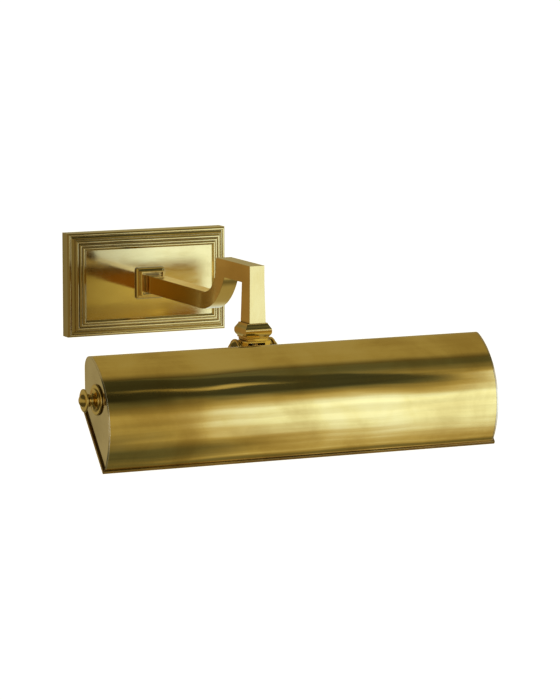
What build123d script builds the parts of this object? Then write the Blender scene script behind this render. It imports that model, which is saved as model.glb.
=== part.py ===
from build123d import *
import os
from math import atan2, cos, degrees, radians, sin, tan

# Picture light: a half-open brass shade that tilts at the end of a cranked square arm,
# which stands on a moulded wall plate.  Millimetres.  The origin is the middle of the wall
# plate's back, on the wall.  +X runs along the shade, +Y into the wall and +Z up, so the
# light stands out towards -Y.

# Wall plate: a picture-frame moulding around a flat field, cast as a shell
PLATE_WIDTH = 126.0
PLATE_HEIGHT = 77.0
PLATE_WALL = 2.0
MOULDING_WIDTH = 12.6
RIM_DEPTH = 11.2
LIP_DEPTH = 16.7
FIELD_DEPTH = 15.4
FIELD_WALL = 1.8

# Wall bracket behind the plate, and what fixes it
BRACKET_THICK = 2.5
BRACKET_LENGTH = 100.0
BRACKET_STRAP = 24.0
TAB_WIDTH = 44.0
TAB_DEPTH = 8.2
TAB_THICK = 2.0
TAB_GAP = 0.3
WALL_SLOT_SPACING = 70.0
WALL_SLOT_LENGTH = 12.0
WALL_SLOT_WIDTH = 5.0
WIRE_OPENING_RADIUS = 7.5
WIRE_OPENING_Z = 20.0
SET_SCREW_RADIUS = 2.0
SET_SCREW_HEAD = 3.4
SET_SCREW_SPACING = 28.0
SET_SCREW_STANDOFF = 6.0

# Square boss, arm and post
BOSS_BASE = 22.0
BOSS_FRONT = 18.4
BOSS_DEPTH = 6.8
BOSS_RECESS = 1.6
BOSS_RIM = 1.2
NIPPLE_RADIUS = 3.95
NIPPLE_BORE = 2.7
NIPPLE_BACK = 7.0
NIPPLE_GRIP = 12.0
ARM_WIDTH = 11.1
ARM_HEIGHT = 12.8
RISER_BACK = 151.5
RISER_FRONT = 170.5
ARM_TOP = 33.1
BRIDGE_HEIGHT = 12.6
INNER_BEND = 22.8
OUTER_BEND = 48.0
TOP_CORNER = 1.4
POST_REACH = 203.0
POST_DEPTH = 13.6
POST_FOOT_WIDTH = 12.3
POST_FOOT_DEPTH = 15.2
POST_FOOT = -7.0
WIRE_WAY = 2.4
WIRE_RISER = 156.0
LEAD_RADIUS = 1.2
WIRE_BEND = 23.0
WIRE_CORNER = 2.8
LEAD_CORNER = 2.0

# Square moulded collar and the tilting knuckle
COLLAR_BOTTOM = -19.4
COLLAR_HALF = 10.0
PIVOT_Z = -28.0
EYE_RADIUS = 6.6
EYE_HALF = 5.6
PIVOT_RADIUS = 3.6
RUNNING_FIT = 0.05
CHEEK_INNER = 6.4
CHEEK_OUTER = 10.8
CHEEK_RADIUS = 8.0
YOKE_BASE = 1.6
YOKE_HALF_DEPTH = 6.0
WASHER_THICK = 0.6
WASHER_RADIUS = 6.2
CAP_DISC_RADIUS = 10.0
CAP_REACH = 8.4
LINK_WIDTH = 10.0
LINK_HEIGHT = 6.6
LINK_BORE = 1.7
LEAD_SLOT_ANGLE = 66.0
GROMMET_RADIUS = 3.0
GROMMET_LIP = 1.2
GROMMET_FLANGE = 0.8
PAD_WIDTH = 30.0
PAD_HEIGHT = 8.4
PAD_THICK = 3.0
PAD_SCREW_SPACING = 20.0
PAD_SCREW_RADIUS = 1.95

# Shade: rolled front and top, flat leaning back, open towards the picture.  Its section is
# drawn about the centre of the rolled front: u runs to the wall and w runs up.
SHADE_LENGTH = 290.0
SHADE_RADIUS = 50.0
SHADE_Y = -243.6
SHADE_Z = -61.15
SHEET = 1.0
CAP_THICK = 1.2
FRONT_LIP_ANGLE = 214.2
BACK_TOP = (-7.7, 49.4)
BACK_LIP = (-8.5, 7.5)
BACK_CORNER = 9.0
RAIL_WIDTH = 2.0
RAIL_PROUD = 1.2
STUD_AT = (-29.8, 18.9)
LAMP_AT = (-26.5, 13.5)

# What screws each end cap and its lampholder together: a turned finial on the left and a
# low domed screw on the right
STUD_RADIUS = 2.0
STUD_LENGTH = 6.8
FINIAL_GAP = 0.05
FINIAL_REACH = 12.8
END_SCREW_HEAD = 5.0
END_SCREW_REACH = 2.4
STUD_NUT_HEIGHT = 3.0
STUD_NUT_FLATS = 7.0

# Lampholders and tubular lamps, which point to the middle of the shade
HOLDER_START = 9.5
HOLDER_LENGTH = 26.0
HOLDER_RADIUS = 9.0
HOLDER_BORE = 6.4
CLIP_THICK = 1.2
CLIP_WIDTH = 14.0
CLIP_LENGTH = 32.0
LAMP_SEAT = 0.6
LAMP_BASE_RADIUS = 6.0
LAMP_BASE_LENGTH = 20.0
LAMP_RADIUS = 9.6
LAMP_LENGTH = 66.0
LAMP_WALL = 0.8

BOSS_FACE = FIELD_DEPTH + BOSS_DEPTH
ARM_START = BOSS_FACE - BOSS_RECESS
BEND_START = RISER_BACK - INNER_BEND
ELBOW_START = RISER_FRONT - OUTER_BEND
BRIDGE_BOTTOM = ARM_TOP - BRIDGE_HEIGHT
BRIDGE_MID = ARM_TOP - BRIDGE_HEIGHT / 2
POST_BACK = POST_REACH - POST_DEPTH / 2
HALF_LENGTH = SHADE_LENGTH / 2
FRONT_LIP = (
    SHADE_RADIUS * cos(radians(FRONT_LIP_ANGLE)),
    SHADE_RADIUS * sin(radians(FRONT_LIP_ANGLE)),
)
MOUTH_ANGLE = degrees(atan2(BACK_LIP[1] - FRONT_LIP[1], BACK_LIP[0] - FRONT_LIP[0]))
BACK_LEAN = degrees(atan2(BACK_LIP[0] - BACK_TOP[0], BACK_TOP[1] - BACK_LIP[1]))
SIDES = {"left": -1, "right": 1}


def side_plane(x=0.0, y=0.0, z=0.0):
    """The plane seen along X, with its own x to the wall and its own y up."""
    return Plane(origin=(x, y, z), x_dir=(0, 1, 0), z_dir=(1, 0, 0))


def along_x(radius, start, length, y=0.0, z=0.0):
    """A round bar parallel to X, from x = start."""
    return extrude(side_plane(start, y, z) * Circle(radius), length)


def along_y(radius, start, length, x=0.0, z=0.0):
    """A round bar parallel to Y that leaves y = start and runs towards the room."""
    disc = Plane(origin=(x, start, z), x_dir=(1, 0, 0), z_dir=(0, -1, 0)) * Circle(radius)
    return extrude(disc, length)


def along_z(radius, start, length, x=0.0, y=0.0):
    """A round bar parallel to Z that starts at z = start and runs up."""
    return extrude(Plane(origin=(x, y, start)) * Circle(radius), length)


def block(x_size, y_size, z_size, x=0.0, y=0.0, z=0.0):
    return Pos(x, y, z) * Box(x_size, y_size, z_size)


def turned_along_x(profile, x, y, z, side):
    """Revolve (distance, radius) points about X, outwards from x on the given side."""
    start, end = profile[0][0], profile[-1][0]
    points = [(start, 0.0), *profile, (end, 0.0)]
    face = make_face(Polyline(*points, close=True))
    body = revolve(face, Axis.X)
    if side < 0:
        body = mirror(body, Plane.YZ)
    return Pos(x, y, z) * body


def dome_arc(start, top):
    """The profile of a spherical cap, from (distance, radius) to the axis at top."""
    base, radius = start
    height = top - base
    sphere = (radius**2 + height**2) / (2 * height)
    centre = top - sphere
    middle = atan2(radius, base - centre) / 2
    return ThreePointArc(
        start, (centre + sphere * cos(middle), sphere * sin(middle)), (top, 0)
    )


def domed_turning(profile, top):
    """Revolve (distance, radius) points about X and close their end with a dome."""
    start = (profile[0][0], 0)
    edges = [Polyline(start, *profile), dome_arc(profile[-1], top), Line((top, 0), start)]
    return revolve(make_face(edges), Axis.X)


def hexagon_bar(flats, height):
    return extrude(RegularPolygon(flats / 2, 6, major_radius=False), height)


# ---- wall plate -------------------------------------------------------------------------


def swelling(start, end, swell):
    """An arc between two points of a profile that stands out (or in, below 0) by swell."""
    across = end[0] - start[0]
    rise = end[1] - start[1]
    lean = swell / (across**2 + rise**2) ** 0.5
    middle = (
        (start[0] + end[0]) / 2 - rise * lean,
        (start[1] + end[1]) / 2 + across * lean,
    )
    return ThreePointArc(start, middle, end)


def moulding_profile():
    """The plate's moulding: distance in from the edge against height off the wall.

    From the edge inwards: rim bead, scotia, torus, small torus and lip bead.
    """
    swellings = [
        ((0, 10.0), (2.1, RIM_DEPTH), 0.7),
        ((2.3, 10.9), (4.6, 13.2), -0.5),
        ((5.0, 13.2), (7.4, 14.3), 0.8),
        ((7.7, 14.2), (9.5, 15.3), 0.6),
        ((9.8, 15.3), (12.0, 15.8), 0.9),
    ]
    edges = []
    last = (0, 0)
    for start, end, swell in swellings:
        edges.append(Line(last, start))
        edges.append(swelling(start, end, swell))
        last = end
    inside = Polyline(
        last,
        (MOULDING_WIDTH, FIELD_DEPTH),
        (MOULDING_WIDTH, FIELD_DEPTH - FIELD_WALL),
        (PLATE_WALL, RIM_DEPTH - 2.6),
        (PLATE_WALL, 0),
        (0, 0),
    )
    return make_face([*edges, inside])


def moulding_side(length, other):
    """One mitred side of the frame, for the edge that lies other / 2 from the middle."""
    plane = Plane(origin=(0, 0, other / 2), x_dir=(0, 0, -1), z_dir=(-1, 0, 0))
    stick = extrude(plane * moulding_profile(), length / 2, both=True)
    half = length / 2
    inner = half - MOULDING_WIDTH
    mitre = Polyline(
        (-half, other / 2),
        (half, other / 2),
        (inner, other / 2 - MOULDING_WIDTH),
        (-inner, other / 2 - MOULDING_WIDTH),
        close=True,
    )
    wedge = Plane.XZ * make_face(mitre)
    return stick & extrude(wedge, LIP_DEPTH + 1, both=True)


def set_screw_places():
    """Where the set screws enter the plate's lower edge, with their own z running up."""
    return [
        Pos(x, -SET_SCREW_STANDOFF, -PLATE_HEIGHT / 2)
        for x in (-SET_SCREW_SPACING / 2, SET_SCREW_SPACING / 2)
    ]


def countersunk(radius, length, head_radius, grow=0.0):
    """A countersunk form that runs up from its flat head at z = 0, grown all round."""
    profile = Polyline(
        (0, 0),
        (head_radius + grow, 0),
        (radius + grow, head_radius - radius),
        (radius + grow, length),
        (0, length),
        close=True,
    )
    return revolve(Plane.XZ * make_face(profile), Axis.Z)


def backplate():
    long_side = moulding_side(PLATE_WIDTH, PLATE_HEIGHT)
    short_side = Rot(0, 90, 0) * moulding_side(PLATE_HEIGHT, PLATE_WIDTH)
    field = block(
        PLATE_WIDTH - 2 * MOULDING_WIDTH,
        FIELD_WALL,
        PLATE_HEIGHT - 2 * MOULDING_WIDTH,
        y=-FIELD_DEPTH + FIELD_WALL / 2,
    )
    plate = long_side + Rot(0, 180, 0) * long_side + short_side + Rot(0, 180, 0) * short_side
    plate = plate + field
    plate -= along_y(NIPPLE_RADIUS + 0.15, -FIELD_DEPTH + FIELD_WALL + 1, FIELD_WALL + 2)
    for place in set_screw_places():
        plate -= place * countersunk(SET_SCREW_RADIUS, PLATE_WALL + 1, SET_SCREW_HEAD, 0.08)
    return plate


def wall_slot(x):
    slot = Pos(x, 0) * SlotOverall(WALL_SLOT_LENGTH, WALL_SLOT_WIDTH)
    front = Plane(origin=(0, 1, 0), x_dir=(1, 0, 0), z_dir=(0, -1, 0))
    return extrude(front * slot, BRACKET_THICK + 2)


def wall_bracket():
    tab_z = PLATE_HEIGHT / 2 - PLATE_WALL - TAB_GAP - TAB_THICK / 2
    tab_span = 2 * tab_z + TAB_THICK
    strap = block(BRACKET_LENGTH, BRACKET_THICK, BRACKET_STRAP, y=-BRACKET_THICK / 2)
    bracket = strap + block(TAB_WIDTH, BRACKET_THICK, tab_span, y=-BRACKET_THICK / 2)
    for z in (-tab_z, tab_z):
        bracket += block(TAB_WIDTH, TAB_DEPTH, TAB_THICK, y=-TAB_DEPTH / 2, z=z)
    bracket -= along_y(WIRE_OPENING_RADIUS, 1, BRACKET_THICK + 2, 0, WIRE_OPENING_Z)
    for x in (-WALL_SLOT_SPACING / 2, WALL_SLOT_SPACING / 2):
        bracket -= wall_slot(x)
    for place in set_screw_places():
        bracket -= place * along_z(SET_SCREW_RADIUS, 0, PLATE_WALL + TAB_GAP + TAB_THICK + 1)
    bracket -= along_y(SET_SCREW_RADIUS, 1, BRACKET_THICK + 2, *ground_place())
    return bracket


def ground_place():
    return 0.0, -PLATE_HEIGHT / 4


def pan_head(radius, height):
    head = Cylinder(radius, height, align=(Align.CENTER, Align.CENTER, Align.MIN))
    rim = head.edges().filter_by(GeomType.CIRCLE).sort_by(Axis.Z)[-1]
    head = fillet(rim, height * 0.6)
    slot = Pos(0, 0, height) * Box(2 * radius + 1, 0.9, height * 0.8)
    return head - slot


def screw(radius, length, head_radius, head_height):
    """A slotted screw along Z: the head sits above z = 0 and the shank below it."""
    shank = along_z(radius, -length, length)
    return shank + pan_head(head_radius, head_height)


def facing_room(x, y, z):
    """Places a thing drawn up Z so that its +Z end points out into the room."""
    return Location((x, y, z), (90, 0, 0))


def plate_set_screws():
    """Countersunk screws that lie flush with the plate's lower edge."""
    length = PLATE_WALL + TAB_GAP + TAB_THICK + 1.5
    part = countersunk(SET_SCREW_RADIUS, length, SET_SCREW_HEAD)
    part -= Box(2 * SET_SCREW_HEAD + 1, 0.9, 1.2)
    return [place * part for place in set_screw_places()]


def ground_screw():
    x, z = ground_place()
    part = along_z(SET_SCREW_RADIUS, -BRACKET_THICK, BRACKET_THICK)
    part += along_z(4.6, 0, 0.9)
    part += Pos(0, 0, 0.9) * hexagon_bar(7.0, 2.6)
    return facing_room(x, -BRACKET_THICK, z) * part


# ---- arm --------------------------------------------------------------------------------


def square_moulding(plane_x, plane_y, profile):
    """A moulding around a square: (half width, height) points mirrored across the axis."""
    outline = [(half, height) for half, height in profile]
    mirrored = [(-half, height) for half, height in reversed(profile)]
    face = make_face(Polyline(*outline, *mirrored, close=True))
    reach = 2 * max(half for half, height in profile) + 2
    first = extrude(plane_x * face, reach / 2, both=True)
    second = extrude(plane_y * face, reach / 2, both=True)
    return first & second


def arm_boss():
    base = BOSS_BASE / 2
    front = BOSS_FRONT / 2
    profile = [
        (base, FIELD_DEPTH),
        (base, FIELD_DEPTH + 1.6),
        (base - 0.6, FIELD_DEPTH + 2.2),
        (front - 0.6, FIELD_DEPTH + 3.0),
        (front - 0.6, BOSS_FACE - 3.0),
        (front, BOSS_FACE - 2.4),
        (front, BOSS_FACE - 0.6),
        (front - 0.5, BOSS_FACE),
    ]
    seen_from_top = Plane(origin=(0, 0, 0), x_dir=(1, 0, 0), z_dir=(0, 0, 1))
    across = Plane(origin=(0, 0, 0), x_dir=(0, 0, 1), z_dir=(-1, 0, 0))
    boss = square_moulding(seen_from_top, across, [(half, -depth) for half, depth in profile])
    opening = BOSS_FRONT - 2 * BOSS_RIM
    boss -= block(opening, BOSS_RECESS, opening, y=-BOSS_FACE + BOSS_RECESS / 2)
    return boss - along_y(NIPPLE_RADIUS + 0.15, -FIELD_DEPTH + 1, BOSS_DEPTH + 2)


def wire_path(*before):
    """The lead's way: along the bar, up the riser, along the bridge and down the post."""
    return FilletPolyline(
        *before,
        (0, -NIPPLE_BACK + 2, 0),
        (0, -WIRE_RISER, 0),
        (0, -WIRE_RISER, BRIDGE_MID),
        (0, -POST_REACH, BRIDGE_MID),
        (0, -POST_REACH, PIVOT_Z + 0.4),
        radius=(*[LEAD_CORNER] * len(before), WIRE_BEND, WIRE_CORNER, WIRE_CORNER),
    )


def tube_along(path, radius):
    section = Plane(origin=path @ 0, z_dir=path % 0) * Circle(radius)
    return sweep(section, path=path)


def wire_way():
    return tube_along(wire_path(), WIRE_WAY)


def arm_bar():
    length = ELBOW_START - ARM_START
    bar = block(ARM_WIDTH, length, ARM_HEIGHT, y=-(ARM_START + ELBOW_START) / 2)
    bar -= along_y(NIPPLE_RADIUS, -ARM_START + 1, NIPPLE_GRIP + 1)
    return bar - wire_way()


def arm_elbow():
    top = ARM_HEIGHT / 2
    inner_centre = top + INNER_BEND
    outer_z = OUTER_BEND - top
    drop = outer_z - BRIDGE_BOTTOM
    meet = ELBOW_START + (OUTER_BEND**2 - drop**2) ** 0.5
    half = radians(45)
    inner = ThreePointArc(
        (-BEND_START, top),
        (-BEND_START - INNER_BEND * sin(half), inner_centre - INNER_BEND * cos(half)),
        (-RISER_BACK, inner_centre),
    )
    outline = Polyline(
        (-RISER_BACK, inner_centre),
        (-RISER_BACK, ARM_TOP),
        (-POST_BACK, ARM_TOP),
        (-POST_BACK, BRIDGE_BOTTOM),
        (-meet, BRIDGE_BOTTOM),
    )
    outer = ThreePointArc(
        (-meet, BRIDGE_BOTTOM),
        (-ELBOW_START - OUTER_BEND * sin(half), outer_z - OUTER_BEND * cos(half)),
        (-ELBOW_START, -top),
    )
    foot = Polyline((-ELBOW_START, -top), (-ELBOW_START, top), (-BEND_START, top))
    face = make_face([inner, outline, outer, foot])
    elbow = extrude(side_plane() * face, ARM_WIDTH / 2, both=True)
    corner = elbow.edges().filter_by(Axis.X).sort_by_distance((0, -RISER_BACK, ARM_TOP))[0]
    elbow = fillet(corner, TOP_CORNER)
    return elbow - wire_way()


def arm_post():
    top = block(
        ARM_WIDTH, POST_DEPTH, BRIDGE_HEIGHT, y=-POST_REACH, z=ARM_TOP - BRIDGE_HEIGHT / 2
    )
    upper = Plane(origin=(0, -POST_REACH, BRIDGE_BOTTOM)) * Rectangle(ARM_WIDTH, POST_DEPTH)
    foot_plane = Plane(origin=(0, -POST_REACH, POST_FOOT))
    lower = foot_plane * Rectangle(POST_FOOT_WIDTH, POST_FOOT_DEPTH)
    return top + loft([upper, lower]) - wire_way()


def arm_nipple():
    start = -NIPPLE_BACK
    length = ARM_START + NIPPLE_GRIP - 1 - NIPPLE_BACK
    return along_y(NIPPLE_RADIUS, start, length) - along_y(NIPPLE_BORE, start + 1, length + 2)


def nipple_washer():
    back = -FIELD_DEPTH + FIELD_WALL
    return along_y(8.0, back + 1.0, 1.0) - along_y(NIPPLE_RADIUS + 0.1, back + 2, 3)


def nipple_nut():
    back = -FIELD_DEPTH + FIELD_WALL + 1.0
    height = 3.0
    nut = facing_room(0, back + height, 0) * hexagon_bar(13.0, height)
    return nut - along_y(NIPPLE_RADIUS, back + height + 1, height + 2)


def post_collar():
    bead = -12.7
    profile = [
        (COLLAR_HALF - 2.3, POST_FOOT),
        (COLLAR_HALF - 2.2, POST_FOOT - 0.5),
        (COLLAR_HALF - 1.6, POST_FOOT - 1.6),
        (COLLAR_HALF - 0.8, POST_FOOT - 2.8),
        (COLLAR_HALF - 0.2, bead + 1.9),
        (COLLAR_HALF, bead + 1.0),
        (COLLAR_HALF, bead - 0.8),
        (COLLAR_HALF - 0.2, bead - 1.6),
        (COLLAR_HALF - 0.8, bead - 2.7),
        (COLLAR_HALF - 1.6, bead - 3.6),
        (COLLAR_HALF - 1.6, bead - 4.6),
        (COLLAR_HALF - 2.2, bead - 5.0),
        (COLLAR_HALF - 2.4, COLLAR_BOTTOM),
    ]
    front = Plane(origin=(0, -POST_REACH, 0), x_dir=(1, 0, 0), z_dir=(0, -1, 0))
    collar = square_moulding(front, side_plane(0, -POST_REACH, 0), profile)
    return collar - wire_way()


def knuckle_yoke():
    base_z = COLLAR_BOTTOM - YOKE_BASE / 2
    yoke = block(2 * CHEEK_OUTER, 2 * YOKE_HALF_DEPTH, YOKE_BASE, y=-POST_REACH, z=base_z)
    cheek = CHEEK_OUTER - CHEEK_INNER
    for start in (CHEEK_INNER, -CHEEK_OUTER):
        eye = along_x(CHEEK_RADIUS, start, cheek, -POST_REACH, PIVOT_Z)
        depth = COLLAR_BOTTOM - PIVOT_Z
        neck = block(
            cheek,
            2 * YOKE_HALF_DEPTH,
            depth,
            x=start + cheek / 2,
            y=-POST_REACH,
            z=PIVOT_Z + depth / 2,
        )
        above = block(
            cheek + 1,
            3 * CHEEK_RADIUS,
            CHEEK_RADIUS,
            x=start + cheek / 2,
            y=-POST_REACH,
            z=COLLAR_BOTTOM + CHEEK_RADIUS / 2,
        )
        yoke += eye + neck
        yoke -= above
        yoke -= along_x(PIVOT_RADIUS, start - 1, cheek + 2, -POST_REACH, PIVOT_Z)
    return yoke - wire_way()


def pivot_screw(side):
    """A shouldered pivot with a domed, ringed head that closes the outside of the knuckle."""
    tip = CHEEK_INNER - 3.6
    shoulder = CHEEK_OUTER
    ring = shoulder + 1.2
    disc = CAP_DISC_RADIUS
    profile = [
        (tip, PIVOT_RADIUS - RUNNING_FIT),
        (shoulder, PIVOT_RADIUS - RUNNING_FIT),
        (shoulder, disc - 1.0),
        (ring - 0.2, disc - 1.0),
        (ring, disc - 1.6),
        (ring + 0.5, disc - 1.6),
        (ring + 0.7, disc - 0.3),
        (ring + 1.1, disc),
        (ring + 1.9, disc),
        (ring + 2.3, disc - 0.3),
        (ring + 2.5, disc - 1.3),
    ]
    body = domed_turning(profile, shoulder + CAP_REACH)
    if side < 0:
        body = mirror(body, Plane.YZ)
    return Pos(0, -POST_REACH, PIVOT_Z) * body


def friction_washers():
    rings = []
    for start in (EYE_HALF + 0.1, -EYE_HALF - 0.1 - WASHER_THICK):
        ring = along_x(WASHER_RADIUS, start, WASHER_THICK, -POST_REACH, PIVOT_Z)
        hole = along_x(
            PIVOT_RADIUS + 0.1, start - 1, WASHER_THICK + 2, -POST_REACH, PIVOT_Z
        )
        rings.append(ring - hole)
    return rings


def supply_lead():
    """From the wire opening in the bracket, through the nipple and the arm, to the pivot."""
    entry = (0, 0, WIRE_OPENING_Z)
    behind_nipple = (0, -NIPPLE_BACK + 2, WIRE_OPENING_Z)
    return tube_along(wire_path(entry, behind_nipple), LEAD_RADIUS)


# ---- shade ------------------------------------------------------------------------------


def section_plane(x=0.0):
    """The shade's section plane at x: u to the wall and w up, about the rolled front."""
    return side_plane(x, SHADE_Y, SHADE_Z)


def back_face(height):
    """u on the flat back at a given w."""
    share = (BACK_TOP[1] - height) / (BACK_TOP[1] - BACK_LIP[1])
    return BACK_TOP[0] + share * (BACK_LIP[0] - BACK_TOP[0])


def before_back(grow=0.0):
    """A big rectangle whose wall side lies on the flat back, moved outwards by grow."""
    size = 200.0
    lean = Location((BACK_LIP[0], BACK_LIP[1], 0), (0, 0, BACK_LEAN))
    return lean * Pos(grow - size / 2, 0) * Rectangle(size, size)


def whole_section(grow=0.0):
    """The section, grown all round, carried on past its mouth so that it can be trimmed."""
    face = Circle(SHADE_RADIUS + grow) & before_back(grow)
    corner = face.vertices().sort_by(Axis.Y)[-1]
    return fillet(corner, BACK_CORNER + grow)


def above_mouth(depth=0.0):
    """A big rectangle whose lower edge lies on the mouth, moved into the shade by depth."""
    size = 200.0
    middle = ((FRONT_LIP[0] + BACK_LIP[0]) / 2, (FRONT_LIP[1] + BACK_LIP[1]) / 2)
    lift = size / 2 + depth
    turn = Location((middle[0], middle[1], 0), (0, 0, MOUTH_ANGLE))
    return turn * Pos(0, lift) * Rectangle(size, size)


def closed_section():
    return whole_section() & above_mouth()


def shade_shell():
    sheet = (whole_section() - whole_section(-SHEET)) & above_mouth()
    length = SHADE_LENGTH - 2 * CAP_THICK
    shell = extrude(section_plane(-length / 2) * sheet, length)
    shell -= Location(pad_frame()) * along_z(GROMMET_RADIUS, -3, 6)
    for place in pad_screw_places():
        shell -= place * along_z(PAD_SCREW_RADIUS + 0.2, -6, 12)
    return shell


def end_cap(side):
    cap = extrude(section_plane(0) * closed_section(), CAP_THICK)
    cap = Pos(HALF_LENGTH - CAP_THICK if side > 0 else -HALF_LENGTH, 0, 0) * cap
    y, z = stud_centre()
    return cap - along_x(STUD_RADIUS + 0.15, -HALF_LENGTH - 1, SHADE_LENGTH + 2, y, z)


def lip_rails():
    """The front and the back rail: the outside of the sheet, next to the mouth."""
    collar = whole_section(RAIL_PROUD) - whole_section()
    strip = (collar & above_mouth()) - above_mouth(RAIL_WIDTH)
    rails = extrude(section_plane(-HALF_LENGTH) * strip, SHADE_LENGTH)
    return rails.solids().sort_by(Axis.Y)


def end_lip_rail(side):
    strip = (whole_section(RAIL_PROUD) & above_mouth()) - above_mouth(RAIL_WIDTH)
    start = HALF_LENGTH if side > 0 else -HALF_LENGTH - RAIL_PROUD
    return extrude(section_plane(start) * strip, RAIL_PROUD)


def pad_frame():
    """The pad's own frame: z points off the flat back, and x runs along the shade."""
    height = PIVOT_Z - SHADE_Z
    u = back_face(height)
    lean = radians(BACK_LEAN)
    return Plane(
        origin=(0, SHADE_Y + u, PIVOT_Z), x_dir=(1, 0, 0), z_dir=(0, cos(lean), sin(lean))
    )


def pad_screw_places():
    frame = pad_frame()
    return [
        Location(frame) * Pos(x, 0, 0)
        for x in (-PAD_SCREW_SPACING / 2, PAD_SCREW_SPACING / 2)
    ]


def shade_link():
    """The eye in the knuckle, its bar, and the pad that the shade's back is screwed to."""
    eye = along_x(EYE_RADIUS, -EYE_HALF, 2 * EYE_HALF, -POST_REACH, PIVOT_Z)
    wall = -(SHADE_Y + back_face(PIVOT_Z - SHADE_Z))
    length = wall - POST_REACH
    bar = block(LINK_WIDTH, length, LINK_HEIGHT, y=-POST_REACH - length / 2, z=PIVOT_Z)
    frame = Location(pad_frame())
    pad = frame * Pos(0, 0, PAD_THICK / 2) * Box(PAD_WIDTH, PAD_HEIGHT, PAD_THICK)
    behind = frame * Pos(0, 0, -10) * Box(2 * PAD_WIDTH, 2 * PAD_HEIGHT, 20)
    link = eye + bar + pad - behind
    link -= along_x(PIVOT_RADIUS, -20, 40, -POST_REACH, PIVOT_Z)
    link -= along_y(LINK_BORE, -POST_REACH, length + 10, 0, PIVOT_Z)
    rise = EYE_RADIUS + 1
    spread = rise * tan(radians(LEAD_SLOT_ANGLE))
    slot = make_face(Polyline((0, 0), (spread, rise), (-spread, rise), close=True))
    eye_plane = side_plane(0, -POST_REACH, PIVOT_Z)
    link -= extrude(eye_plane * slot, WIRE_WAY, both=True)
    for place in pad_screw_places():
        link -= place * along_z(PAD_SCREW_RADIUS, -1, PAD_THICK + 2)
    return link


def link_screws():
    """Their heads are inside the shade and their shanks end flush with the pad."""
    part = screw(PAD_SCREW_RADIUS, SHEET + PAD_THICK, 3.6, 2.0)
    turned = Pos(0, 0, -SHEET) * Rot(180, 0, 0) * part
    return [place * turned for place in pad_screw_places()]


def finial():
    """Turned thumb screw: flange, cove, ringed neck, thin head and dome, with its stud."""
    profile = [
        (-STUD_LENGTH, STUD_RADIUS),
        (0.0, STUD_RADIUS),
        (0.0, 9.9),
        (0.3, 10.3),
        (1.0, 10.3),
        (1.3, 9.9),
        (1.4, 7.9),
        (1.8, 7.5),
        (2.3, 7.5),
        (2.6, 6.4),
        (3.2, 5.0),
        (4.0, 4.0),
        (4.8, 3.6),
        (5.5, 3.6),
        (5.7, 4.3),
        (6.1, 4.6),
        (6.5, 4.3),
        (6.7, 3.6),
        (7.8, 3.6),
        (8.4, 4.4),
        (8.7, 7.2),
        (9.0, 7.8),
        (9.5, 7.8),
        (9.8, 7.2),
        (10.0, 4.7),
        (10.6, 4.4),
    ]
    return Pos(-HALF_LENGTH - FINIAL_GAP, *stud_centre()) * mirror(
        domed_turning(profile, FINIAL_REACH), Plane.YZ
    )


def end_screw():
    """The low domed screw of the right end cap, tight against it."""
    profile = [
        (-STUD_LENGTH, STUD_RADIUS),
        (0.0, STUD_RADIUS),
        (0.0, END_SCREW_HEAD),
        (0.6, END_SCREW_HEAD),
    ]
    return Pos(HALF_LENGTH, *stud_centre()) * domed_turning(profile, END_SCREW_REACH)


def stud_centre():
    return SHADE_Y + STUD_AT[0], SHADE_Z + STUD_AT[1]


def lamp_centre():
    return SHADE_Y + LAMP_AT[0], SHADE_Z + LAMP_AT[1]


def stud_nuts():
    y, z = stud_centre()
    nuts = []
    for side in SIDES.values():
        inner = HALF_LENGTH - CAP_THICK - CLIP_THICK
        nut = hexagon_bar(STUD_NUT_FLATS, STUD_NUT_HEIGHT)
        turn = Location((side * inner, y, z), (0, -90 * side, 0))
        hole = along_x(STUD_RADIUS + RUNNING_FIT, -HALF_LENGTH, SHADE_LENGTH, y, z)
        nuts.append(turn * nut - hole)
    return nuts


def lampholder_clip(side):
    """An angle of strip: one leg under the stud's nut, the other beside the lampholder."""
    y, z = lamp_centre()
    stud_y, stud_z = stud_centre()
    cap_inside = HALF_LENGTH - CAP_THICK
    foot = block(
        CLIP_THICK, 26.0, CLIP_WIDTH, x=cap_inside - CLIP_THICK / 2, y=y - 0.4, z=stud_z - 1.0
    )
    leg_y = y + HOLDER_RADIUS + CLIP_THICK / 2 + 0.2
    leg = block(
        CLIP_LENGTH, CLIP_THICK, CLIP_WIDTH, x=cap_inside - CLIP_LENGTH / 2, y=leg_y, z=stud_z - 1.0
    )
    clip = foot + leg - along_x(STUD_RADIUS + 0.15, cap_inside - 5, 8, stud_y, stud_z)
    return clip if side > 0 else mirror(clip, Plane.YZ)


def lampholder(side):
    y, z = lamp_centre()
    start = HALF_LENGTH - HOLDER_START - HOLDER_LENGTH
    body = along_x(HOLDER_RADIUS, start, HOLDER_LENGTH, y, z)
    body -= along_x(HOLDER_BORE, start - 1, HOLDER_LENGTH - 3, y, z)
    return body if side > 0 else mirror(body, Plane.YZ)


def lamp_foot():
    """x where the right lamp's glass meets its base, just outside the holder's mouth."""
    return HALF_LENGTH - HOLDER_START - HOLDER_LENGTH - LAMP_SEAT


def lamp_base(side):
    y, z = lamp_centre()
    profile = []
    pitch = 3.0
    turns = 5
    for turn in range(turns):
        start = turn * pitch
        profile.append((start, LAMP_BASE_RADIUS))
        profile.append((start + pitch / 2, LAMP_BASE_RADIUS - 0.5))
    profile.append((turns * pitch, LAMP_BASE_RADIUS))
    profile.append((turns * pitch + 2.0, 3.0))
    profile.append((LAMP_BASE_LENGTH - 1.5, 2.4))
    shell = turned_along_x(profile, lamp_foot(), y, z, 1)
    return shell if side > 0 else mirror(shell, Plane.YZ)


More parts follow.
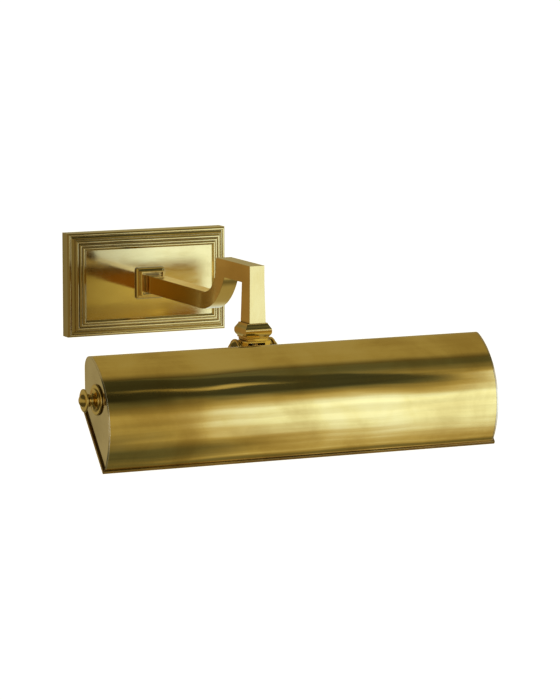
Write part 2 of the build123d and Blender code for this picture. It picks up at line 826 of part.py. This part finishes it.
def lamp_tube(side):
    """A clear tube with a round end: a closed glass shell that stands on its base."""
    y, z = lamp_centre()
    outer = glass_form(LAMP_RADIUS, LAMP_LENGTH)
    inner = glass_form(LAMP_RADIUS - LAMP_WALL, LAMP_LENGTH - LAMP_WALL)
    inner = Pos(-LAMP_WALL, 0, 0) * inner
    tube = Pos(lamp_foot(), y, z) * (outer - inner)
    return tube if side > 0 else mirror(tube, Plane.YZ)


def glass_form(radius, length):
    """A tubular bulb along -X: neck, shoulder, straight tube and half-round end."""
    neck = radius - 4.0
    half = radians(45)
    shoulder = ThreePointArc((-1.5, neck), (-3.2, radius - 1.4), (-6.0, radius))
    end = ThreePointArc(
        (-length + radius, radius),
        (-length + radius - radius * cos(half), radius * sin(half)),
        (-length, 0),
    )
    edges = [
        Polyline((0, 0), (0, neck), (-1.5, neck)),
        shoulder,
        Line((-6.0, radius), (-length + radius, radius)),
        end,
        Line((-length, 0), (0, 0)),
    ]
    return revolve(make_face(edges), Axis.X)


def shade_leads():
    y, z = lamp_centre()
    wall_y = SHADE_Y + back_face(PIVOT_Z - SHADE_Z)
    inside_y = wall_y - 9.0
    rear = HALF_LENGTH - HOLDER_START
    leads = []
    for side in SIDES.values():
        path = FilletPolyline(
            (side * 0.8, -POST_REACH - EYE_RADIUS, PIVOT_Z),
            (side * 0.8, inside_y, PIVOT_Z),
            (side * (rear + 4.0), inside_y, PIVOT_Z),
            (side * (rear + 4.0), y, z),
            (side * rear, y, z),
            radius=1.6,
        )
        leads.append(tube_along(path, 0.75))
    return leads


def shade_grommet():
    """The insulating bush that lines the lead's way through the sheet."""
    sleeve = along_z(GROMMET_RADIUS, -SHEET, SHEET)
    flange = along_z(GROMMET_RADIUS + GROMMET_LIP, -SHEET - GROMMET_FLANGE, GROMMET_FLANGE)
    bush = Location(pad_frame()) * (sleeve + flange)
    return bush - along_y(LINK_BORE, -POST_REACH, -SHADE_Y, 0, PIVOT_Z)


# ---- nodes ------------------------------------------------------------------------------


def assembly():
    front_rail, back_rail = lip_rails()
    nodes = {
        "wall_bracket": wall_bracket(),
        "backplate": backplate(),
        "plate_set_screws": plate_set_screws(),
        "ground_screw": ground_screw(),
        "arm_nipple": arm_nipple(),
        "nipple_washer": nipple_washer(),
        "nipple_nut": nipple_nut(),
        "arm_boss": arm_boss(),
        "arm_bar": arm_bar(),
        "arm_elbow": arm_elbow(),
        "arm_post": arm_post(),
        "post_collar": post_collar(),
        "knuckle_yoke": knuckle_yoke(),
        "friction_washers": friction_washers(),
        "supply_lead": supply_lead(),
        "shade_link": shade_link(),
        "link_screws": link_screws(),
        "shade_shell": shade_shell(),
        "front_lip_rail": front_rail,
        "back_lip_rail": back_rail,
        "shade_grommet": shade_grommet(),
        "stud_nuts": stud_nuts(),
        "shade_leads": shade_leads(),
        "finial_left": finial(),
        "end_screw_right": end_screw(),
    }
    for name, side in SIDES.items():
        nodes[f"pivot_screw_{name}"] = pivot_screw(side)
        nodes[f"end_cap_{name}"] = end_cap(side)
        nodes[f"end_lip_rail_{name}"] = end_lip_rail(side)
        nodes[f"lampholder_clip_{name}"] = lampholder_clip(side)
        nodes[f"lampholder_{name}"] = lampholder(side)
        nodes[f"lamp_base_{name}"] = lamp_base(side)
        nodes[f"lamp_tube_{name}"] = lamp_tube(side)
    return nodes


os.makedirs("parts", exist_ok=True)
for node_name, shape in assembly().items():
    solids = Compound(children=shape) if isinstance(shape, list) else shape
    export_step(solids, f"parts/{node_name}.step")
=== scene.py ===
"""Looks of the picture light: aged polished brass, lamps, floor, studio light and camera."""

from math import radians

import bmesh
import bpy
from mathutils import Euler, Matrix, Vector

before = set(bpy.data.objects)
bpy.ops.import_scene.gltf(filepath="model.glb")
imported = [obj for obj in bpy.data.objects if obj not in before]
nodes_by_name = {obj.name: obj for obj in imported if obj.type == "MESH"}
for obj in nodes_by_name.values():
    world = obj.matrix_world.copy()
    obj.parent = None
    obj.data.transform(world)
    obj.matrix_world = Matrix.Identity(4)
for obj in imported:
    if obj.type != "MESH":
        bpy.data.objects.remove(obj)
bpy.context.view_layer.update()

MM = 0.001

# Camera: a long lens from the front left, a little above the light.
CAMERA_PLACE = (-1.0155, -2.4659, 0.3247)
CAMERA_TURN = (radians(81.94), 0.0, radians(-24.60))
CAMERA_LENS = 185.14
CAMERA_SENSOR = 36.0
CAMERA_CLIP_END = 200.0

# Floor: well below the light, glowing just enough to look white.
FLOOR_Z = -0.60
FLOOR_REACH = 60.0
FLOOR_GLOW = 0.95

# Soft card: the big glowing sheet that the shade's front mirrors.
CARD_Y = -0.80
CARD_X = (-0.35, 1.60)
CARD_Z = (-1.60, 1.50)
CARD_FOLD = 0.045
CARD_DIM = 0.43
CARD_BRIGHT = 1.12
CARD_TOP_REST = 0.045
CARD_STRIP = 0.45

# Warm card: the wooden-coloured board that the arm's left side mirrors.
WARM_CARD_Y = 0.02
WARM_CARD_X = (-0.22, -0.078)
WARM_CARD_Z = (-0.13, 0.06)
WARM_CARD_GLOW = 0.34

# World: how bright the room is in each direction, and the white paper that the camera sees.
WORLD_BACK = 0.36
WORLD_WALL = 0.45
WORLD_FRONT = 0.042
WORLD_BELOW = 0.13
WORLD_LEFT = 0.30
WORLD_DUSK = 0.80
PAPER_GLOW = 1.1

# Brass colours: bright, middle and tarnished.
PALE_BRASS = ((0.90, 0.71, 0.31), (0.85, 0.65, 0.26), (0.64, 0.45, 0.15))
MID_BRASS = ((0.90, 0.68, 0.26), (0.84, 0.61, 0.20), (0.60, 0.39, 0.10))
WARM_BRASS = ((0.90, 0.68, 0.27), (0.83, 0.60, 0.21), (0.58, 0.38, 0.11))
# Painted shade: darker brass for the lip rails, standing in for the dark reflections along the
# lips.
RAIL_SHADE_BRASS = ((0.62, 0.42, 0.16), (0.48, 0.31, 0.11), (0.28, 0.17, 0.06))
# Painted reflection: greyer brass for the end caps, which share the shade's finish; the grey stands
# in for what they mirror.
CAP_REFLECTION_BRASS = ((0.86, 0.71, 0.49), (0.78, 0.64, 0.43), (0.56, 0.44, 0.28))
# Painted shade: the tint that darkens the left part of the plate.
LEFT_SHADE_TINT = (0.42, 0.38, 0.34)
# Grime and painted shade colour, mixed in where corners and grooves are enclosed.
GRIME_SHADE_COLOUR = (0.085, 0.045, 0.018)

# Brass texture: cells per metre of its patches and hollows, and sizes in metres.
PATCHES = (26.0, 26.0, 26.0)
BROAD_PATCHES = (9.0, 9.0, 9.0)
HOLLOWS = (11.0, 22.0, 22.0)
CORNER_REACH = 2.2 * MM
EDGE_RADIUS = 0.35 * MM

# Light colours.
WHITE = (1.0, 1.0, 1.0, 1.0)
ROOM_TINT = (1.0, 0.88, 0.45)
WALL_TINT = (0.86, 1.0, 1.0)


# ---- node helpers -----------------------------------------------------------------------


class Nodes:
    """A small wrapper that adds nodes to a tree and links their sockets."""

    def __init__(self, tree):
        self.tree = tree
        self.tree.nodes.clear()

    def add(self, kind, inputs=None, **settings):
        """A new node; inputs are sockets to link or plain values, by name or index."""
        node = self.tree.nodes.new("ShaderNode" + kind)
        for name, value in settings.items():
            setattr(node, name, value)
        for name, value in (inputs or {}).items():
            self.put(node, name, value)
        return node

    def put(self, node, name, value):
        if isinstance(value, bpy.types.NodeSocket):
            self.tree.links.new(value, node.inputs[name])
        else:
            node.inputs[name].default_value = value

    def math(self, operation, first, second=0.0, third=0.0):
        node = self.add("Math", {0: first, 1: second, 2: third}, operation=operation)
        return node.outputs[0]

    def product(self, first, *others):
        result = first
        for other in others:
            result = self.math("MULTIPLY", result, other)
        return result

    def remap(self, value, low, high, start=0.0, end=1.0, smooth=True):
        """Goes from start, where value is low, to end, where value is high."""
        kind = "SMOOTHSTEP" if smooth else "LINEAR"
        inputs = {"Value": value, "From Min": low, "From Max": high, "To Min": start, "To Max": end}
        return self.add("MapRange", inputs, interpolation_type=kind).outputs[0]

    def band(self, value, rise, fall):
        """One between the end of the rise and the start of the fall, zero outside both."""
        return self.product(self.remap(value, *rise), self.remap(value, *fall, 1.0, 0.0))

    def ramp(self, factor, *stops):
        node = self.add("ValToRGB", {"Fac": factor})
        points = node.color_ramp.elements
        while len(points) < len(stops):
            points.new(0.5)
        for point, (place, colour) in zip(points, stops):
            point.position = place
            point.color = (*colour, 1.0)
        return node.outputs[0]

    def mix(self, factor, first, second, blend="MIX"):
        """A mix of two colours, each a socket or a tuple of three numbers."""
        node = self.add("Mix", data_type="RGBA", blend_type=blend)
        for index, value in ((0, factor), (6, first), (7, second)):
            if isinstance(value, tuple):
                value = (*value, 1.0)
            self.put(node, index, value)
        return node.outputs[2]

    def object_place(self):
        """X, Y and Z in the object's own metres."""
        place = self.add("TexCoord").outputs["Object"]
        return self.add("SeparateXYZ", {"Vector": place}).outputs

    def noise(self, stretch, detail=3.0, rough=0.55, distortion=0.0):
        """Noise whose cells per metre along X, Y and Z are given by stretch."""
        place = self.add("TexCoord").outputs["Object"]
        mapping = self.add("Mapping", {"Vector": place, "Scale": stretch})
        inputs = {
            "Vector": mapping.outputs[0],
            "Scale": 1.0,
            "Detail": detail,
            "Roughness": rough,
            "Distortion": distortion,
        }
        return self.add("TexNoise", inputs).outputs[0]

    def surface(self, shader):
        self.add("OutputMaterial", {"Surface": shader.outputs[0]})


def new_material(name):
    material = bpy.data.materials.new(name)
    material.use_nodes = True
    return material, Nodes(material.node_tree)


def dress(material, *names):
    """Gives the material to CAD nodes."""
    for name in names:
        for slot in nodes_by_name[name].material_slots:
            slot.material = material


# ---- materials --------------------------------------------------------------------------


def aged_brass(
    name,
    *,
    metals,
    streaks,
    roughness,
    patina,
    grime_shade_strength,
    corners=(0.30, 0.85),
    waves=0.2,
    relief=0.012,
    shaded_left_span=None,
):
    """Polished brass: soft patches of patina, fine polishing streaks, grime and painted shade in
    the corners.

    metals are the bright, the middle and the tarnished colour, streaks is the stretch of the
    polishing marks in cells per metre along X, Y and Z, relief is their height in millimetres
    and waves the height of the broad hollows that hand polishing leaves.  corners is how open
    a spot is, from 0 to 1, where grime and painted shade are darkest and where there are none.
    The optional last X span, in metres, is where painted shade darkens the surface: most left
    of it and not at all right of it.
    """
    material, tree = new_material(name)
    patches = tree.noise(PATCHES, detail=4.0, distortion=0.4)
    broad = tree.noise(BROAD_PATCHES, detail=2.0)
    lines = tree.noise(streaks, detail=5.0, rough=0.65)
    fine = tree.noise(tuple(4.0 * value for value in streaks), detail=4.0, rough=0.7)
    hollows = tree.noise(HOLLOWS, detail=1.0)

    tarnish = tree.math("MULTIPLY_ADD", patches, 0.55, tree.product(broad, 0.45))
    tarnish = tree.math("MULTIPLY_ADD", lines, 0.25, tarnish)
    tarnish = tree.product(tree.remap(tarnish, 0.48, 0.82), patina)
    metal = tree.ramp(tarnish, *zip((0.0, 0.35, 1.0), metals))
    # Painted shade: the left part of the surface is darkened, standing in for its dimmer
    # reflections.
    if shaded_left_span:
        left_shade_x = tree.math("MULTIPLY_ADD", patches, 0.04, tree.object_place()[0])
        metal = tree.mix(tree.remap(left_shade_x, *shaded_left_span, 0.9, 0.0), metal, LEFT_SHADE_TINT, "MULTIPLY")

    # Grime and painted shade: the colour darkens, patchily, where a spot is enclosed, in corners
    # and grooves.
    openness = tree.add("AmbientOcclusion", {"Distance": CORNER_REACH}, samples=8)
    corner_grime_shade = tree.remap(openness.outputs["AO"], *corners, grime_shade_strength, 0.0)
    corner_grime_shade = tree.product(corner_grime_shade, tree.remap(patches, 0.2, 0.6, 0.6, 1.0))

    gloss = tree.math("MULTIPLY_ADD", patches, 0.5, tree.product(lines, 0.5))
    gloss = tree.remap(gloss, 0.35, 0.65, *roughness)
    gloss = tree.math("MULTIPLY_ADD", corner_grime_shade, 0.35, gloss)

    rounded = tree.add("Bevel", {"Radius": EDGE_RADIUS}, samples=6)
    height = tree.math("MULTIPLY_ADD", lines, 0.6, tree.product(fine, 0.4))
    hollow_inputs = {"Height": hollows, "Distance": waves * MM, "Normal": rounded.outputs[0]}
    hollow = tree.add("Bump", hollow_inputs)
    marks_inputs = {"Height": height, "Distance": relief * MM, "Normal": hollow.outputs[0]}
    marks = tree.add("Bump", marks_inputs)
    surface = {
        "Base Color": tree.mix(corner_grime_shade, metal, GRIME_SHADE_COLOUR),
        "Metallic": 1.0,
        "Roughness": gloss,
        "Normal": marks.outputs[0],
    }
    tree.surface(tree.add("BsdfPrincipled", surface))
    return material


def plated_steel():
    """Zinc plate with a faint spangle."""
    material, tree = new_material("zinc_plate")
    spangle = tree.noise((220.0, 220.0, 220.0), detail=3.0)
    metal = tree.ramp(spangle, (0.35, (0.50, 0.50, 0.49)), (0.65, (0.66, 0.66, 0.63)))
    gloss = tree.remap(spangle, 0.3, 0.7, 0.28, 0.46)
    bump = tree.add("Bump", {"Height": spangle, "Strength": 1.0, "Distance": 0.02 * MM})
    surface = {"Base Color": metal, "Metallic": 1.0, "Roughness": gloss, "Normal": bump.outputs[0]}
    tree.surface(tree.add("BsdfPrincipled", surface))
    return material


def moulded(name, dark, light, roughness):
    """Plain moulded plastic with a fine skin."""
    material, tree = new_material(name)
    skin = tree.noise((900.0, 900.0, 900.0), detail=2.0)
    cloud = tree.noise((60.0, 60.0, 60.0), detail=2.0)
    colour = tree.ramp(cloud, (0.35, dark), (0.65, light))
    gloss = tree.remap(skin, 0.3, 0.7, roughness - 0.06, roughness + 0.06)
    bump = tree.add("Bump", {"Height": skin, "Strength": 1.0, "Distance": 0.03 * MM})
    surface = {"Base Color": colour, "Roughness": gloss, "Normal": bump.outputs[0]}
    tree.surface(tree.add("BsdfPrincipled", surface))
    return material


def clear_glass():
    """Lamp glass with a little dust."""
    material, tree = new_material("lamp_glass")
    dust = tree.noise((150.0, 150.0, 150.0), detail=4.0)
    surface = {
        "Base Color": (0.97, 0.98, 0.97, 1.0),
        "Roughness": tree.remap(dust, 0.4, 0.8, 0.01, 0.07),
        "IOR": 1.48,
        "Transmission Weight": 1.0,
    }
    tree.surface(tree.add("BsdfPrincipled", surface))
    return material


def dress_wall_plate_and_arm():
    plate = aged_brass(
        "plate_brass",
        metals=PALE_BRASS,
        streaks=(40, 40, 160),
        roughness=(0.07, 0.13),
        patina=0.5,
        grime_shade_strength=0.95,
        corners=(0.45, 0.93),
        relief=0.005,
        shaded_left_span=(-0.05, 0.04),
    )
    arm = aged_brass(
        "arm_brass",
        metals=WARM_BRASS,
        streaks=(300, 60, 120),
        roughness=(0.06, 0.13),
        patina=0.5,
        grime_shade_strength=0.75,
        corners=(0.40, 0.92),
    )
    dress(plate, "backplate")
    dress(arm, "arm_boss", "arm_bar", "arm_elbow", "arm_post", "post_collar")
    dress(arm, "knuckle_yoke", "shade_link")


def dress_turned_pieces():
    turned = aged_brass(
        "turned_brass",
        metals=WARM_BRASS,
        streaks=(1500, 90, 90),
        roughness=(0.05, 0.10),
        patina=0.5,
        grime_shade_strength=0.75,
        corners=(0.40, 0.92),
    )
    dress(turned, "plate_set_screws", "ground_screw", "link_screws", "finial_left")
    dress(turned, "pivot_screw_left", "pivot_screw_right", "lamp_base_left", "lamp_base_right")


def dress_shade():
    shade = aged_brass(
        "shade_brass",
        metals=MID_BRASS,
        streaks=(7, 120, 120),
        roughness=(0.05, 0.12),
        patina=0.85,
        grime_shade_strength=0.7,
        waves=1.0,
    )
    # Painted shade: the lip rails get darker brass, standing in for the dark reflections along the
    # lips.
    rail = aged_brass(
        "rail_brass_painted_shade",
        metals=RAIL_SHADE_BRASS,
        streaks=(60, 60, 60),
        roughness=(0.08, 0.16),
        patina=0.7,
        grime_shade_strength=0.9,
    )
    # Painted reflection: the end caps get greyer brass, standing in for the grey they mirror.
    cap = aged_brass(
        "cap_brass_painted_reflection",
        metals=CAP_REFLECTION_BRASS,
        streaks=(60, 60, 60),
        roughness=(0.08, 0.18),
        patina=0.7,
        grime_shade_strength=0.8,
    )
    dress(shade, "shade_shell", "end_screw_right")
    dress(rail, "front_lip_rail", "back_lip_rail", "end_lip_rail_left", "end_lip_rail_right")
    dress(cap, "end_cap_left", "end_cap_right")


def dress_fixings_and_lamps():
    steel = plated_steel()
    holder = moulded("holder_plastic", (0.020, 0.014, 0.010), (0.035, 0.025, 0.018), 0.30)
    sleeve = moulded("lead_cover", (0.62, 0.60, 0.54), (0.74, 0.72, 0.66), 0.42)
    bush = moulded("bush_plastic", (0.018, 0.018, 0.018), (0.035, 0.035, 0.035), 0.55)
    dress(steel, "wall_bracket", "arm_nipple", "nipple_washer", "nipple_nut", "stud_nuts")
    dress(steel, "lampholder_clip_left", "lampholder_clip_right")
    dress(holder, "lampholder_left", "lampholder_right")
    dress(sleeve, "supply_lead", "shade_leads")
    dress(bush, "friction_washers", "shade_grommet")
    dress(clear_glass(), "lamp_tube_left", "lamp_tube_right")


# ---- stage ------------------------------------------------------------------------------


def sheet_object(name, corners, material):
    """A flat four-cornered sheet of the stage."""
    mesh = bpy.data.meshes.new(name)
    shape = bmesh.new()
    shape.faces.new([shape.verts.new(corner) for corner in corners])
    shape.to_mesh(mesh)
    shape.free()
    mesh.materials.append(material)
    thing = bpy.data.objects.new(name, mesh)
    bpy.context.scene.collection.objects.link(thing)
    return thing


def glowing_card(name, x_span, y, z_span, material):
    """An upright card, which is only seen mirrored in the metal."""
    left, right = x_span
    low, high = z_span
    corners = [(left, y, low), (right, y, low), (right, y, high), (left, y, high)]
    card = sheet_object(name, corners, material)
    card.visible_camera = False
    card.visible_shadow = False
    card.visible_diffuse = False


def pale_floor():
    """A pale floor well below the light, clear from underneath so that views from there work."""
    material, tree = new_material("pale_floor")
    cloud = tree.noise((2.0, 2.0, 2.0), detail=2.0)
    surface = {
        "Base Color": tree.ramp(cloud, (0.3, (0.84, 0.84, 0.84)), (0.7, (0.88, 0.88, 0.88))),
        "Roughness": 0.9,
        "Emission Color": WHITE,
        "Emission Strength": FLOOR_GLOW,
    }
    paint = tree.add("BsdfPrincipled", surface)
    clear = tree.add("BsdfTransparent")
    beneath = tree.add("NewGeometry").outputs["Backfacing"]
    tree.surface(tree.add("MixShader", {0: beneath, 1: paint.outputs[0], 2: clear.outputs[0]}))
    turns = [(-1, -1), (1, -1), (1, 1), (-1, 1)]
    corners = [(FLOOR_REACH * x, FLOOR_REACH * y, FLOOR_Z) for x, y in turns]
    floor = sheet_object("floor", corners, material)
    floor.visible_glossy = False


def card_level(tree):
    """How brightly the soft card glows from place to place.

    It is brightest right of the object at its middle height, fades upwards, downwards and to
    the left, and its folds and threads keep the edges of those bands uneven.
    """
    x, _, z = tree.object_place()
    folds = tree.noise((7.0, 1.0, 3.0), detail=3.0)
    z = tree.math("ADD", z, tree.remap(folds, 0.3, 0.7, -CARD_FOLD, CARD_FOLD))

    # From left to right: dim beside the object, with a paler strip at the far left.
    slanted = tree.math("ADD", x, tree.remap(z, -1.0, -0.35, -0.25, 0.0, smooth=False))
    across = tree.remap(slanted, 0.07, 0.24, CARD_DIM, CARD_BRIGHT)
    across = tree.math("ADD", across, tree.remap(x, -0.15, 0.0, 0.40, 0.0))

    # Upwards: dark, from higher up on the right, where a far corner stays half lit.
    above = tree.math("SUBTRACT", z, tree.remap(x, 0.38, 0.60, 0.0, 0.35))
    top = tree.remap(above, 0.0, 0.38, 1.0, CARD_TOP_REST)
    far_corner = tree.product(tree.remap(x, 0.45, 0.50), tree.remap(z, 0.35, 1.0, 0.38, 0.10))
    top = tree.math("MAXIMUM", top, far_corner)

    # Downwards: half dark, less and later on the right, and darker again at the bottom edge.
    lowest = tree.remap(x, 0.20, 0.45, -0.65, -0.95)
    rest = tree.remap(x, 0.15, 0.50, 0.24, 0.52)
    bottom = tree.remap(z, lowest, -0.05, rest, 1.0)
    bottom = tree.product(bottom, tree.remap(z, -1.45, -1.05, 0.3, 1.0))
    level = tree.product(across, tree.product(top, bottom))

    # One short bright strip inside the dark top.
    strip = tree.product(
        tree.band(z, (0.50, 0.55), (0.58, 0.65)), tree.band(x, (0.17, 0.23), (0.30, 0.36))
    )
    level = tree.math("MULTIPLY_ADD", strip, CARD_STRIP, level)
    threads = tree.noise((2.2, 1.0, 12.0), detail=4.0, rough=0.6)
    return tree.product(level, tree.remap(threads, 0.3, 0.7, 0.86, 1.10))


def soft_card():
    """A big glowing card in front and to the right, bright and cool in its middle height."""
    material, tree = new_material("soft_card_light")
    level = card_level(tree)
    burn = tree.remap(level, 0.40, 1.05)
    chill = tree.remap(level, 0.05, 0.25, 1.0, 0.0)
    green = tree.math("MULTIPLY_ADD", burn, 0.36, ROOM_TINT[1])
    green = tree.math("MULTIPLY_ADD", chill, 0.20, green)
    blue = tree.math("MULTIPLY_ADD", burn, 1.15, ROOM_TINT[2])
    blue = tree.math("MULTIPLY_ADD", chill, 0.25, blue)
    channels = {"X": level, "Y": tree.product(level, green), "Z": tree.product(level, blue)}
    colour = tree.add("CombineXYZ", channels).outputs[0]
    tree.surface(tree.add("Emission", {"Color": colour, "Strength": 1.0}))
    glowing_card("soft_card", CARD_X, CARD_Y, CARD_Z, material)


def warm_card():
    """A wooden-coloured board behind and to the left, which the arm's left side mirrors."""
    material, tree = new_material("warm_card_light")
    grain = tree.noise((12.0, 12.0, 60.0), detail=3.0)
    tint = tree.ramp(grain, (0.3, (1.0, 0.68, 0.26)), (0.7, (0.80, 0.52, 0.18)))
    tree.surface(tree.add("Emission", {"Color": tint, "Strength": WARM_CARD_GLOW}))
    glowing_card("warm_card", WARM_CARD_X, WARM_CARD_Y, WARM_CARD_Z, material)


def studio_world():
    """Even light from behind and the left, brighter off the wall, dark above the camera.

    To the left it fades upwards and downwards, so that turned pieces get dark outlines.
    Where the camera looks straight at it the world is white paper.
    """
    world = bpy.data.worlds.new("studio")
    world.use_nodes = True
    tree = Nodes(world.node_tree)
    way = tree.add("SeparateXYZ", {"Vector": tree.add("TexCoord").outputs["Generated"]})
    x, y, z = way.outputs
    front = tree.remap(z, -0.75, 0.1, WORLD_BELOW, WORLD_FRONT)
    front = tree.math("ADD", front, tree.remap(x, -0.25, -0.05, WORLD_LEFT, 0.0))
    wall = tree.product(
        tree.remap(y, 0.45, 0.85), tree.remap(x, 0.0, 0.35), tree.remap(z, -0.08, 0.08, 1.0, 0.0)
    )
    behind = tree.math("MULTIPLY_ADD", wall, WORLD_WALL, WORLD_BACK)
    side = tree.remap(y, -0.34, -0.12)
    level = tree.add("Mix", {0: side, 2: front, 3: behind}, data_type="FLOAT").outputs[0]
    steep = tree.remap(tree.math("ABSOLUTE", z), 0.15, 0.50, 0.0, WORLD_DUSK)
    dusk = tree.product(steep, tree.remap(x, -0.25, -0.05, 1.0, 0.0))
    level = tree.product(level, tree.math("SUBTRACT", 1.0, dusk))
    tint = tree.mix(wall, ROOM_TINT, WALL_TINT)
    room = tree.add("Background", {"Color": tint, "Strength": level})
    paper = tree.add("Background", {"Color": WHITE, "Strength": PAPER_GLOW})
    seen = tree.add("LightPath").outputs["Is Camera Ray"]
    sky = tree.add("MixShader", {0: seen, 1: room.outputs[0], 2: paper.outputs[0]})
    tree.add("OutputWorld", {"Surface": sky.outputs[0]})
    bpy.context.scene.world = world


def photo_camera():
    data = bpy.data.cameras.new("photo_camera")
    data.lens = CAMERA_LENS
    data.sensor_width = CAMERA_SENSOR
    data.clip_end = CAMERA_CLIP_END
    camera = bpy.data.objects.new("photo_camera", data)
    camera.location = Vector(CAMERA_PLACE)
    camera.rotation_euler = Euler(CAMERA_TURN)
    bpy.context.scene.collection.objects.link(camera)
    bpy.context.scene.camera = camera


# ---- the scene --------------------------------------------------------------------------

dress_wall_plate_and_arm()
dress_turned_pieces()
dress_shade()
dress_fixings_and_lamps()
pale_floor()
soft_card()
warm_card()
studio_world()
photo_camera()
bpy.context.scene.view_settings.view_transform = "Standard"
